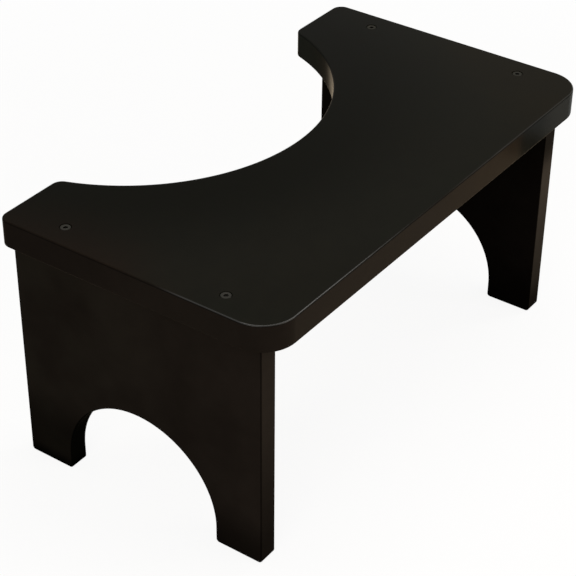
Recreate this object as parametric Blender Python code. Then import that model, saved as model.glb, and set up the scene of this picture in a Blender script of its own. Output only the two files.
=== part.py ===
"""Toilet footstool: a board with a curved cut-out, screwed and dowelled onto two arched leg panels.

Metres, +Z up. X runs along the board, -Y is the front edge, +Y the edge with the cut-out.
The origin is on the floor, under the middle of the board.
"""

import math

import bmesh
import bpy
from mathutils import Vector

# Board
BOARD_LENGTH = 0.465
BOARD_WIDTH = 0.260
BOARD_THICKNESS = 0.024
BOARD_EDGE_ROUND = 0.0014
FRONT_CORNER_RADIUS = 0.030
BACK_CORNER_RADIUS = 0.010
CUTOUT_RADIUS = 0.171
CUTOUT_DEPTH = 0.117
CUTOUT_CORNER_RADIUS = 0.010

# Leg panels
LEG_HEIGHT = 0.2107
LEG_THICKNESS = 0.018
LEG_END_INSET = 0.0125
LEG_FRONT_INSET = 0.018
LEG_BACK_INSET = 0.003
LEG_EDGE_ROUND = 0.0012
FOOT_CORNER_RADIUS = 0.003
ARCH_RADIUS = 0.075
ARCH_STRAIGHT = 0.015

# Gap that touching pieces keep
SEAT_GAP = 0.0003

# Countersunk screws with a hexagon socket
SCREW_FROM_FRONT = 0.056
SCREW_FROM_BACK = 0.051
SCREW_LENGTH = 0.060
SCREW_SINK = 0.0003
HEAD_DIAMETER = 0.009
HEAD_RIM = 0.0005
HEAD_CONE_HEIGHT = 0.0024
SOCKET_ACROSS_FLATS = 0.0035
SOCKET_DEPTH = 0.0022
SHANK_DIAMETER = 0.0036
SHANK_LENGTH = 0.020
THREAD_DIAMETER = 0.0050
THREAD_PITCH = 0.0028
SCREW_TIP_LENGTH = 0.004

# Dowels
DOWEL_DIAMETER = 0.008
DOWEL_LENGTH = 0.030
DOWEL_IN_BOARD = 0.012
DOWEL_CHAMFER = 0.0010
DOWEL_FLUTE_DEPTH = 0.0003
DOWEL_FROM_SCREW = 0.032

# How far a cutter runs past the face it opens
CUT_OVERRUN = 0.004

# Finishes: colour, roughness, metallic value
LACQUER = ((0.0116, 0.0112, 0.0095), 0.38, 0.0)
STEEL = ((0.21, 0.20, 0.18), 0.35, 1.0)
BEECH = ((0.58, 0.42, 0.26), 0.70, 0.0)

# Facets of round shapes
CORNER_STEPS = 10
SMALL_CORNER_STEPS = 6
CUTOUT_STEPS = 64
ARCH_STEPS = 36
EDGE_ROUND_SEGMENTS = 2
SCREW_SIDES = 18
BORE_SIDES = 24
DOWEL_FLUTES = 12
SHARP_ANGLE_DEGREES = 30

# Places worked out from the sizes above
HALF_LENGTH = BOARD_LENGTH / 2
FRONT_Y = -BOARD_WIDTH / 2
BACK_Y = BOARD_WIDTH / 2
BOARD_UNDERSIDE = LEG_HEIGHT + SEAT_GAP
BOARD_TOP = BOARD_UNDERSIDE + BOARD_THICKNESS
LEG_FRONT_Y = FRONT_Y + LEG_FRONT_INSET
LEG_BACK_Y = BACK_Y - LEG_BACK_INSET
LEG_MIDDLE_X = HALF_LENGTH - LEG_END_INSET - LEG_THICKNESS / 2
ARCH_Y = (LEG_FRONT_Y + LEG_BACK_Y) / 2
SCREW_FRONT_Y = FRONT_Y + SCREW_FROM_FRONT
SCREW_BACK_Y = BACK_Y - SCREW_FROM_BACK
SCREW_TOP = BOARD_TOP - SCREW_SINK
DOWEL_TOP = BOARD_UNDERSIDE + DOWEL_IN_BOARD
THREAD_MARGIN = THREAD_PITCH / 4


def clear_scene():
    for thing in list(bpy.data.objects):
        bpy.data.objects.remove(thing)


def finish(name, values):
    """A plain Principled material with the part's colour."""
    colour, roughness, metallic = values
    material = bpy.data.materials.new(name)
    material.use_nodes = True
    shader = material.node_tree.nodes["Principled BSDF"]
    shader.inputs["Base Color"].default_value = (*colour, 1.0)
    shader.inputs["Roughness"].default_value = roughness
    shader.inputs["Metallic"].default_value = metallic
    material.diffuse_color = (*colour, 1.0)
    return material


def arc(centre, radius, start, end, steps):
    """Points on an arc, ends included; angles in degrees, counter-clockwise when end is larger."""
    points = []
    for step in range(steps + 1):
        angle = math.radians(start + (end - start) * step / steps)
        points.append((centre[0] + radius * math.cos(angle), centre[1] + radius * math.sin(angle)))
    return points


def board_outline():
    """The board seen from above, counter-clockwise from its front left corner."""
    front_x = HALF_LENGTH - FRONT_CORNER_RADIUS
    front_y = FRONT_Y + FRONT_CORNER_RADIUS
    back_x = HALF_LENGTH - BACK_CORNER_RADIUS
    back_y = BACK_Y - BACK_CORNER_RADIUS
    cutout_y = BACK_Y - CUTOUT_DEPTH + CUTOUT_RADIUS
    # The rounding between the back edge and the cut-out touches both from the board's side.
    round_y = BACK_Y - CUTOUT_CORNER_RADIUS
    reach = CUTOUT_RADIUS + CUTOUT_CORNER_RADIUS
    round_x = math.sqrt(reach**2 - (cutout_y - round_y) ** 2)
    turn = math.degrees(math.atan2(cutout_y - round_y, round_x))
    return [
        *arc((-front_x, front_y), FRONT_CORNER_RADIUS, 180, 270, CORNER_STEPS),
        *arc((front_x, front_y), FRONT_CORNER_RADIUS, 270, 360, CORNER_STEPS),
        *arc((back_x, back_y), BACK_CORNER_RADIUS, 0, 90, SMALL_CORNER_STEPS),
        *arc((round_x, round_y), CUTOUT_CORNER_RADIUS, 90, 180 - turn, SMALL_CORNER_STEPS),
        *arc((0, cutout_y), CUTOUT_RADIUS, -turn, turn - 180, CUTOUT_STEPS)[1:-1],
        *arc((-round_x, round_y), CUTOUT_CORNER_RADIUS, turn, 90, SMALL_CORNER_STEPS),
        *arc((-back_x, back_y), BACK_CORNER_RADIUS, 90, 180, SMALL_CORNER_STEPS),
    ]


def leg_outline():
    """A leg panel seen from the side, as (y from the arch's middle, z), with the arch open below."""
    front = LEG_FRONT_Y - ARCH_Y
    back = LEG_BACK_Y - ARCH_Y
    foot = FOOT_CORNER_RADIUS
    return [
        *arc((front + foot, foot), foot, 180, 270, SMALL_CORNER_STEPS),
        *arc((-ARCH_RADIUS - foot, foot), foot, 270, 360, SMALL_CORNER_STEPS),
        *arc((0, ARCH_STRAIGHT), ARCH_RADIUS, 180, 0, ARCH_STEPS),
        *arc((ARCH_RADIUS + foot, foot), foot, 180, 270, SMALL_CORNER_STEPS),
        *arc((back - foot, foot), foot, 270, 360, SMALL_CORNER_STEPS),
        (back, LEG_HEIGHT),
        (front, LEG_HEIGHT),
    ]


def add_mesh_object(name, work, material):
    """Turns a finished bmesh into a named object with its material."""
    bmesh.ops.recalc_face_normals(work, faces=work.faces)
    mesh = bpy.data.meshes.new(name)
    work.to_mesh(mesh)
    work.free()
    mesh.materials.append(material)
    made = bpy.data.objects.new(name, mesh)
    bpy.context.collection.objects.link(made)
    return made


def shade(made):
    made.data.shade_smooth()
    made.data.set_sharp_from_angle(angle=math.radians(SHARP_ANGLE_DEGREES))


def slab(points, low, high, edge_round):
    """A bmesh slab with the outline `points` in XY, from `low` to `high` in Z, its rims rounded."""
    work = bmesh.new()
    base = work.faces.new([work.verts.new((x, y, low)) for x, y in points])
    grown = bmesh.ops.extrude_face_region(work, geom=[base])
    raised = [item for item in grown["geom"] if isinstance(item, bmesh.types.BMVert)]
    bmesh.ops.translate(work, verts=raised, vec=(0, 0, high - low))
    bmesh.ops.recalc_face_normals(work, faces=work.faces)
    rims = [edge for edge in work.edges if edge.verts[0].co.z == edge.verts[1].co.z]
    bmesh.ops.bevel(
        work, geom=rims, offset=edge_round, segments=EDGE_ROUND_SEGMENTS, profile=0.5, affect="EDGES"
    )
    return work


def skin(work, rings, close_first=True, close_last=True):
    """Quads between successive rings of vertices, with flat caps where they are wanted."""
    for upper, lower in zip(rings, rings[1:]):
        for side in range(len(upper)):
            after = (side + 1) % len(upper)
            work.faces.new((upper[side], upper[after], lower[after], lower[side]))
    if close_first:
        work.faces.new(list(reversed(rings[0])))
    if close_last:
        work.faces.new(rings[-1])


def circle(work, radius, height, sides):
    """A ring of vertices round the Z axis; `radius` may be a function of the angle."""
    ring = []
    for side in range(sides):
        angle = math.tau * side / sides
        reach = radius(angle) if callable(radius) else radius
        ring.append(work.verts.new((reach * math.cos(angle), reach * math.sin(angle), height)))
    return ring


def hexagon(across_flats):
    """The reach of a hexagon's side at an angle, with a corner at angle zero."""
    sixth = math.tau / 6

    def reach(angle):
        return across_flats / 2 / math.cos((angle % sixth) - sixth / 2)

    return reach


def thread(work, top_ring, start, turns):
    """A V thread that winds down from `start` below a ring of vertices; returns the ring under it.

    Rows alternate between root and crest. Each row sinks by one pitch in a full turn, so the last
    side of row k meets the first side of row k + 2, and the first and last turns have no crest.
    """
    sides = len(top_ring)
    root = SHANK_DIAMETER / 2
    crest = THREAD_DIAMETER / 2
    last = 2 * turns

    def vertex(row, side):
        angle = math.tau * side / sides
        wound = row / 2 + side / sides
        on_crest = row % 2 == 1 and 1 < wound < turns
        reach = crest if on_crest else root
        height = start - THREAD_PITCH * wound
        return work.verts.new((reach * math.cos(angle), reach * math.sin(angle), height))

    rows = [[vertex(row, side) for side in range(sides)] for row in range(last + 1)]
    for row in (last + 1, last + 2):
        rows.append([vertex(row, 0)])
    foot = start - THREAD_PITCH * (turns + 1) - THREAD_MARGIN
    bottom_ring = circle(work, root, foot, sides)
    for row in range(last):
        upper, lower = rows[row], rows[row + 1]
        for side in range(sides - 1):
            work.faces.new((upper[side], upper[side + 1], lower[side + 1], lower[side]))
        work.faces.new((rows[row][-1], rows[row + 2][0], rows[row + 3][0], rows[row + 1][-1]))
    for side in range(sides - 1):
        work.faces.new((top_ring[side], top_ring[side + 1], rows[0][side + 1], rows[0][side]))
    work.faces.new((top_ring[-1], top_ring[0], rows[0][0], rows[1][0], rows[2][0], rows[0][-1]))
    for side in range(1, sides - 1):
        work.faces.new((rows[last][side], rows[last][side + 1], bottom_ring[side + 1], bottom_ring[side]))
    work.faces.new((rows[last][-1], rows[last + 2][0], bottom_ring[0], bottom_ring[-1]))
    first_side = (rows[last][0], rows[last][1], bottom_ring[1], bottom_ring[0])
    work.faces.new((*first_side, rows[last + 2][0], rows[last + 1][0]))
    return bottom_ring


def screw_mesh(material):
    """One screw, its head's top face at height zero."""
    work = bmesh.new()
    head = HEAD_DIAMETER / 2
    shank = SHANK_DIAMETER / 2
    socket = hexagon(SOCKET_ACROSS_FLATS)
    cone_foot = -HEAD_RIM - HEAD_CONE_HEIGHT
    shank_foot = cone_foot - SHANK_LENGTH
    rings = [
        circle(work, socket, -SOCKET_DEPTH, SCREW_SIDES),
        circle(work, socket, 0, SCREW_SIDES),
        circle(work, head, 0, SCREW_SIDES),
        circle(work, head, -HEAD_RIM, SCREW_SIDES),
        circle(work, shank, cone_foot, SCREW_SIDES),
        circle(work, shank, shank_foot, SCREW_SIDES),
    ]
    skin(work, rings, close_last=False)
    thread_start = shank_foot - THREAD_MARGIN
    room = SCREW_LENGTH + thread_start - SCREW_TIP_LENGTH - THREAD_MARGIN
    turns = int(room / THREAD_PITCH) - 1
    foot_ring = thread(work, rings[-1], thread_start, turns)
    tip = work.verts.new((0, 0, -SCREW_LENGTH))
    for side in range(SCREW_SIDES):
        work.faces.new((foot_ring[side], foot_ring[(side + 1) % SCREW_SIDES], tip))
    made = add_mesh_object("screw", work, material)
    shade(made)
    return made


def dowel_mesh(material):
    """One fluted dowel with chamfered ends, its top face at height zero."""
    work = bmesh.new()
    full = DOWEL_DIAMETER / 2

    def fluted(radius):
        def reach(angle):
            flute = math.cos(angle * DOWEL_FLUTES) < 0
            return radius - (DOWEL_FLUTE_DEPTH if flute else 0)

        return reach

    sides = 2 * DOWEL_FLUTES
    skin(
        work,
        [
            circle(work, full - DOWEL_CHAMFER, 0, sides),
            circle(work, fluted(full), -DOWEL_CHAMFER, sides),
            circle(work, fluted(full), DOWEL_CHAMFER - DOWEL_LENGTH, sides),
            circle(work, full - DOWEL_CHAMFER, -DOWEL_LENGTH, sides),
        ],
    )
    made = add_mesh_object("dowel", work, material)
    shade(made)
    return made


def place(name, pattern, where, parent):
    """A named copy of a repeated piece that shares its mesh."""
    made = bpy.data.objects.new(name, pattern.data)
    bpy.context.collection.objects.link(made)
    made.location = where
    made.parent = parent
    return made


def hide_cutter(cutter, parent):
    cutter.hide_render = True
    cutter.display_type = "WIRE"
    cutter.parent = parent


def screw_space(name, where, material, parent):
    """The room that a screw takes in board and leg: its own shape, wider by the gap."""
    work = bmesh.new()
    head = HEAD_DIAMETER / 2 + SEAT_GAP
    bore = THREAD_DIAMETER / 2 + SEAT_GAP
    above = SCREW_SINK + CUT_OVERRUN
    # The cone keeps the head's slope, so it ends higher on the bore, which is wider than the shank.
    slope = HEAD_CONE_HEIGHT / (HEAD_DIAMETER / 2 - SHANK_DIAMETER / 2)
    cone_foot = -HEAD_RIM - SEAT_GAP - slope * (head - bore)
    skin(
        work,
        [
            circle(work, head, above, BORE_SIDES),
            circle(work, head, -HEAD_RIM - SEAT_GAP, BORE_SIDES),
            circle(work, bore, cone_foot, BORE_SIDES),
            circle(work, bore, -SCREW_LENGTH - SEAT_GAP, BORE_SIDES),
        ],
    )
    cutter = add_mesh_object(name, work, material)
    cutter.location = where
    hide_cutter(cutter, parent)
    return cutter


def dowel_space(name, where, material, parent):
    """The blind hole that a dowel fills in board and leg."""
    work = bmesh.new()
    bore = DOWEL_DIAMETER / 2 + SEAT_GAP
    skin(
        work,
        [
            circle(work, bore, SEAT_GAP, BORE_SIDES),
            circle(work, bore, -DOWEL_LENGTH - SEAT_GAP, BORE_SIDES),
        ],
    )
    cutter = add_mesh_object(name, work, material)
    cutter.location = where
    hide_cutter(cutter, parent)
    return cutter


def cut(made, cutter):
    bore = made.modifiers.new(cutter.name, "BOOLEAN")
    bore.operation = "DIFFERENCE"
    bore.solver = "EXACT"
    bore.object = cutter


def make_board(material, parent):
    work = slab(board_outline(), BOARD_UNDERSIDE, BOARD_TOP, BOARD_EDGE_ROUND)
    board = add_mesh_object("top_board", work, material)
    board.parent = parent
    shade(board)
    return board


def make_leg(material):
    """A leg panel round the X axis: outline in YZ, thickness along X, its arch centred on Y zero."""
    work = slab(leg_outline(), -LEG_THICKNESS / 2, LEG_THICKNESS / 2, LEG_EDGE_ROUND)
    for vertex in work.verts:
        vertex.co = Vector((vertex.co.z, vertex.co.x, vertex.co.y))
    leg = add_mesh_object("leg", work, material)
    shade(leg)
    return leg


def main():
    clear_scene()
    lacquer = finish("black_lacquer", LACQUER)
    steel = finish("screw_steel", STEEL)
    beech = finish("dowel_beech", BEECH)

    stool = bpy.data.objects.new("stool", None)
    bpy.context.collection.objects.link(stool)

    board = make_board(lacquer, stool)
    leg_pattern = make_leg(lacquer)
    screw_pattern = screw_mesh(steel)
    dowel_pattern = dowel_mesh(beech)

    for side, x in (("left", -LEG_MIDDLE_X), ("right", LEG_MIDDLE_X)):
        leg = place(f"{side}_leg", leg_pattern, (x, ARCH_Y, 0), stool)
        for end, screw_y, inwards in (("front", SCREW_FRONT_Y, 1), ("back", SCREW_BACK_Y, -1)):
            screw_place = (x, screw_y, SCREW_TOP)
            dowel_place = (x, screw_y + inwards * DOWEL_FROM_SCREW, DOWEL_TOP)
            place(f"screw_{side}_{end}", screw_pattern, screw_place, stool)
            place(f"dowel_{side}_{end}", dowel_pattern, dowel_place, stool)
            for space in (
                screw_space(f"screw_space_{side}_{end}", screw_place, steel, stool),
                dowel_space(f"dowel_space_{side}_{end}", dowel_place, beech, stool),
            ):
                cut(board, space)
                cut(leg, space)

    for pattern in (leg_pattern, screw_pattern, dowel_pattern):
        bpy.data.objects.remove(pattern)


main()
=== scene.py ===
"""Toilet footstool in black lacquer: the looks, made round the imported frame.

Lengths are in metres, in the frame's own axes: X runs along the board, -Y is its front edge, +Y the
edge with the curved cut-out, and the floor is at Z zero.
"""

import math

import bmesh
import bpy
from bpy.props import FloatProperty, FloatVectorProperty, IntProperty, PointerProperty
from mathutils import Matrix, Vector


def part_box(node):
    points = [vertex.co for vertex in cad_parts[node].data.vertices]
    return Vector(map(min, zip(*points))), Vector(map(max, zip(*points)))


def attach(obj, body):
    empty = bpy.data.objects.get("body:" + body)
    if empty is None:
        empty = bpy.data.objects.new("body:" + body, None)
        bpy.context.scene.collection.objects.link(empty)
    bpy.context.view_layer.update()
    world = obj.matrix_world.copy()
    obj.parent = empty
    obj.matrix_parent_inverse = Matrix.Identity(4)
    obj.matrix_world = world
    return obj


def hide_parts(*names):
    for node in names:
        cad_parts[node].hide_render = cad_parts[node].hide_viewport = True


bl_info = {
    "name": "Toilet Footstool",
    "version": (1, 0, 0),
    "blender": (4, 5, 0),
    "location": "View3D > Sidebar > Footstool",
    "description": "Makes the lacquered boards, the screws and dowels, and the studio of a toilet footstool",
    "category": "Object",
}

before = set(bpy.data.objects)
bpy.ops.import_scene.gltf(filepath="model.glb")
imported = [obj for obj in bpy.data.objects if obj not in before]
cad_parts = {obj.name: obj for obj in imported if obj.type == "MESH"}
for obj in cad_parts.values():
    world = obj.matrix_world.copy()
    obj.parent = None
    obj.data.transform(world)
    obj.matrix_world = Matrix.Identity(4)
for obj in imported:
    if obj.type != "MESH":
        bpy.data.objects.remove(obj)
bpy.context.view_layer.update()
BODY = "root"

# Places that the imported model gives
BOARD_LOW, BOARD_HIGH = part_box("top_board")
LEG_LOW, LEG_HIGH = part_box("right_leg")
SCREW_LOW, SCREW_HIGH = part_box("screw_right_front")
SCREW_BACK_LOW, SCREW_BACK_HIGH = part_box("screw_right_back")
DOWEL_LOW, DOWEL_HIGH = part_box("dowel_right_front")
DOWEL_BACK_LOW, DOWEL_BACK_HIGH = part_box("dowel_right_back")
LEG_MIDDLE_X = (LEG_LOW.x + LEG_HIGH.x) / 2
ARCH_Y = (LEG_LOW.y + LEG_HIGH.y) / 2
SCREW_LENGTH = SCREW_HIGH.z - SCREW_LOW.z
DOWEL_LENGTH = DOWEL_HIGH.z - DOWEL_LOW.z
DOWEL_DIAMETER = DOWEL_HIGH.x - DOWEL_LOW.x

# Clearance between a piece and the hole it fills, and how far a cutter runs past the face it opens
SEAT_GAP = 0.0003
CUT_OVERRUN = 0.004

# Facets
CORNER_STEPS = 24
SMALL_CORNER_STEPS = 12
CUTOUT_STEPS = 160
ARCH_STEPS = 96
RIM_SEGMENTS = 6
RING_SIDES = 48
THREAD_ROWS = 6
SHARP_ANGLE = math.radians(35)


def length(name, description, default):
    return FloatProperty(name=name, description=description, default=default, min=0, unit="LENGTH")


def share(name, description, default):
    return FloatProperty(name=name, description=description, default=default, min=0, max=1, subtype="FACTOR")


def angle(name, description, degrees):
    return FloatProperty(name=name, description=description, default=math.radians(degrees), unit="ROTATION")


def colour(name, description, default):
    return FloatVectorProperty(
        name=name, description=description, default=default, size=3, min=0, max=1, subtype="COLOR"
    )


class BoardSizes(bpy.types.PropertyGroup):
    cutout_radius: length("Cut-out Radius", "Radius of the curve that goes round the toilet", 0.171)
    cutout_depth: length("Cut-out Depth", "How far the curve reaches into the board", 0.117)
    cutout_corner: length("Cut-out Corner", "Rounding between the back edge and the curve", 0.010)
    front_corner: length("Front Corner", "Radius of the two front corners", 0.030)
    back_corner: length("Back Corner", "Radius of the two back corners", 0.010)
    rim: length("Rim", "Rounding of the top and bottom edges", 0.0014)


class LegSizes(bpy.types.PropertyGroup):
    arch_radius: length("Arch Radius", "Radius of the arch between the feet", 0.075)
    arch_straight: length("Arch Straight", "Height of the arch's upright sides", 0.015)
    foot_corner: length("Foot Corner", "Rounding of the feet's lower corners", 0.003)
    rim: length("Rim", "Rounding of the panel's edges", 0.0012)


class ScrewSizes(bpy.types.PropertyGroup):
    head: length("Head", "Diameter of the countersunk head", 0.009)
    head_rim: length("Head Rim", "Height of the upright rim above the cone", 0.0005)
    cone: length("Cone", "Height of the cone under the head", 0.0024)
    rim_bevel: length("Rim Bevel", "Bevel round the head", 0.0004)
    bevel: length("Bevel", "Bevel round the socket", 0.00018)
    socket: length("Socket", "Width across the flats of the hexagon socket", 0.0035)
    socket_depth: length("Socket Depth", "Depth of the hexagon socket", 0.0022)
    shank: length("Shank", "Diameter of the plain shank and the thread's root", 0.0036)
    shank_length: length("Shank Length", "Length of the plain shank under the head", 0.020)
    thread: length("Thread", "Diameter over the thread's crest", 0.0050)
    pitch: length("Pitch", "Rise of the thread in one turn", 0.0028)
    tip: length("Tip", "Least length of the plain point", 0.004)


class DowelSizes(bpy.types.PropertyGroup):
    chamfer: length("Chamfer", "Chamfer round both ends", 0.0010)
    flute_depth: length("Flute Depth", "Depth of the glue flutes", 0.0003)
    flutes: IntProperty(name="Flutes", description="Number of glue flutes", default=12, min=3)


class LacquerLook(bpy.types.PropertyGroup):
    olive: colour("Olive Black", "Colour of the board's broad faces, left half", (0.0070, 0.0069, 0.0045))
    khaki: colour("Khaki Black", "Colour of the right half of those faces", (0.0058, 0.0055, 0.0030))
    # Painted shade: the faces beside the cut-out are darkened in place of a dark reflection there
    shaded: colour("Shaded Black", "Colour of those faces beside the cut-out", (0.0017, 0.0015, 0.0))
    # Painted light at the board's ends: the russet left end is partly a painted warm reflection, the amber
    # right end a painted sheen
    russet: colour("Russet Black", "Colour of those faces at the left end", (0.0100, 0.0050, 0.0024))
    amber: colour("Amber Black", "Colour of those faces at the right end", (0.0078, 0.0061, 0.0026))
    umber: colour("Umber Black", "Colour of the board's edges and legs' patches", (0.0106, 0.0083, 0.0069))
    # Painted reflections on the board's front edge: warm tan, then dark pitch black past it, then grey slate
    # at the right end
    tan: colour("Tan Black", "Colour of the front edge's right half", (0.0152, 0.0104, 0.0065))
    # Pitch black is also painted shade on the legs' arch edges
    pitch: colour("Pitch Black", "Colour past the tan, and of the arches' edges", (0.0046, 0.0047, 0.0034))
    slate: colour("Slate Black", "Colour of the board's right end", (0.0131, 0.0125, 0.0095))
    moss: colour("Moss Black", "Colour of the cut-out's wall and the back edge", (0.0146, 0.0164, 0.0136))
    brown: colour("Brown Black", "Colour of the back half of the legs' broad faces", (0.0158, 0.0138, 0.0108))
    ruddy: colour("Ruddy Black", "Colour of the front half of those faces", (0.0165, 0.0130, 0.0108))
    dusty: colour("Dusty Brown", "Colour of the legs' outer edges", (0.0210, 0.0171, 0.0142))
    # Painted warm reflection on the right leg's front edge
    pale: colour("Pale Brown", "Colour of the right leg's front edge", (0.046, 0.039, 0.032))
    patch: length("Patch Size", "Width of the soft colour patches", 0.09)
    cloud: length("Cloud Size", "Width of the fine clouding", 0.016)
    peel: length("Peel Size", "Width of the sprayed coat's ripples", 0.0022)
    peel_height: length("Peel Height", "Height of the sprayed coat's ripples", 0.000012)
    roughness: share("Roughness", "Middle roughness of the satin coat", 0.34)
    edge_roughness: share("Edge Roughness", "Middle roughness of the coat on the edges", 0.18)
    gloss: share("Gloss", "Strength of the board's reflection", 0.015)
    leg_gloss: share("Leg Gloss", "Strength of the legs' reflection", 0.001)
    polish: share("Polish", "How far the top rim is polished by use", 0.85)
    polish_roughness: share("Polish Roughness", "Roughness of the polished rim", 0.17)
    polish_start: length("Polish Start", "Where the rim's polish fades, from the front edge", 0.075)
    polish_end: length("Polish End", "Where the rim's polish ends, from the front edge", 0.108)
    # Painted dark reflection: the paint is darkened along the rims
    rim_line: share("Rim Line", "How far the paint is darkened along the rims", 0.70)
    # Where the painted shade by the cut-out fades out
    shade_start: length("Shade Start", "Where the board's faces grow lighter, from the cut-out", 0.010)
    shade_end: length("Shade End", "Where that change is complete, from the cut-out", 0.140)
    # Where the brown ends, with their painted reflection and sheen, come in
    brown_start: length("Worn Start", "Where the board grows browner, from its middle", 0.17)
    brown_end: length("Worn End", "Where that change is complete, from its middle", 0.28)
    # Where the front edge's painted reflections change, from tan to pitch and from pitch to slate
    end_start: length("End Start", "Where the edge turns from tan to pitch black, from its middle", 0.109)
    end_end: length("End End", "Where that change is complete, from its middle", 0.130)
    slate_start: length("Slate Start", "Where the edge turns from that to slate, from its middle", 0.145)
    slate_end: length("Slate End", "Where that change is complete, from its middle", 0.185)
    back_start: length("Back Start", "Where the board's edge grows darker, from the front edge", 0.19)
    back_end: length("Back End", "Where that change is complete, from the front edge", 0.25)
    # Painted shade near the floor: the legs' faces and edges darker towards the feet, higher on the back
    # feet, with black soles at the back
    foot_start: length("Foot Start", "How far up the front feet's faces are darkest from wet floors", 0.006)
    foot_height: length("Foot Height", "How far up that darkening reaches", 0.052)
    foot_extra: length("Foot Extra", "How much further up the back feet's faces are dark", 0.030)
    edge_shade_height: length("Damp Height", "How far up they have darkened the legs' edges", 0.165)
    sole_height: length("Sole Height", "How far up the back feet's lowest edges are black", 0.014)
    # Painted shade on the legs' inner faces, under the board
    inner_fade: length("Inner Fade", "Width of the change to the darker inner faces", 0.002)


class MetalLook(bpy.types.PropertyGroup):
    steel: colour("Steel", "Colour of the darkened steel", (0.036, 0.034, 0.030))
    roughness: share("Roughness", "Middle roughness of the steel", 0.36)
    bare: length("Bare Radius", "How far out the head is clear of the paint round it", 0.0040)


class BeechLook(bpy.types.PropertyGroup):
    early: colour("Early Wood", "Colour of the pale growth", (0.60, 0.44, 0.28))
    late: colour("Late Wood", "Colour of the darker growth", (0.43, 0.28, 0.16))
    roughness: share("Roughness", "Roughness of the raw wood", 0.68)


class StudioSettings(bpy.types.PropertyGroup):
    azimuth: angle("Azimuth", "Direction of the camera round the stool", -54.71)
    elevation: angle("Elevation", "Height of the camera above the horizon", 34.58)
    roll: angle("Roll", "Tilt of the camera about its own axis", 0.55)
    distance: length("Distance", "From the camera to the point it looks at", 1.5303)
    aim: FloatVectorProperty(
        name="Aim",
        description="Point that the camera looks at",
        default=(-0.0190, 0.0073, 0.1011),
        subtype="XYZ",
        unit="LENGTH",
    )
    lens: FloatProperty(name="Lens", description="Focal length", default=111.9, unit="CAMERA")
    floor: colour("Floor", "Colour that the floor sheds on the stool", (0.28, 0.255, 0.22))
    mirrored: colour("Mirrored Floor", "Colour of the floor where the stool mirrors it", (0.95, 0.80, 0.60))
    beside: colour("Floor Beside", "Colour of the mirrored floor to the stool's right", (0.80, 0.86, 0.90))
    dome: share("Dome", "Strength of the light from all round", 0.33)


SETTINGS = {
    "footstool_board": BoardSizes,
    "footstool_leg": LegSizes,
    "footstool_screw": ScrewSizes,
    "footstool_dowel": DowelSizes,
    "footstool_lacquer": LacquerLook,
    "footstool_metal": MetalLook,
    "footstool_beech": BeechLook,
    "footstool_studio": StudioSettings,
}


class Value:
    """A number that a node gives. Python's operators on it add Math nodes to its tree."""

    def __init__(self, nodes, socket):
        self.nodes = nodes
        self.socket = socket

    def __add__(self, other):
        return self.nodes.maths("ADD", self, other)

    def __sub__(self, other):
        return self.nodes.maths("SUBTRACT", self, other)

    def __rsub__(self, other):
        return self.nodes.maths("SUBTRACT", other, self)

    def __mul__(self, other):
        return self.nodes.maths("MULTIPLY", self, other)

    __radd__ = __add__
    __rmul__ = __mul__

    def __abs__(self):
        return self.nodes.maths("ABSOLUTE", self, 0)

    def step(self, low, high):
        """Runs smoothly from 0 at `low` to 1 at `high`."""
        values = {"Value": self, "From Min": low, "From Max": high}
        return self.nodes.add("ShaderNodeMapRange", {"interpolation_type": "SMOOTHSTEP"}, values)

    def between(self, low, high):
        """Runs evenly from `low` where this is 0 to `high` where it is 1."""
        return low + (high - low) * self


class Nodes:
    """Builds a node tree: `add` makes any node, and Value's operators the sums between them."""

    def __init__(self, tree):
        self.tree = tree

    def add(self, kind, settings=None, inputs=None, output=0):
        """Adds a node, sets its settings and then its sockets, and gives one of its outputs."""
        node = self.tree.nodes.new(kind)
        for name, setting in (settings or {}).items():
            setattr(node, name, setting)
        for name, value in (inputs or {}).items():
            self.feed(node.inputs[name], value)
        return Value(self, node.outputs[output])

    def feed(self, socket, value):
        if isinstance(value, Value):
            self.tree.links.new(value.socket, socket)
        elif hasattr(value, "__len__") and len(value) == 3 and socket.type == "RGBA":
            socket.default_value = (*value, 1.0)
        else:
            socket.default_value = value

    def maths(self, operation, first, second):
        return self.add("ShaderNodeMath", {"operation": operation}, {0: first, 1: second})


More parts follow.
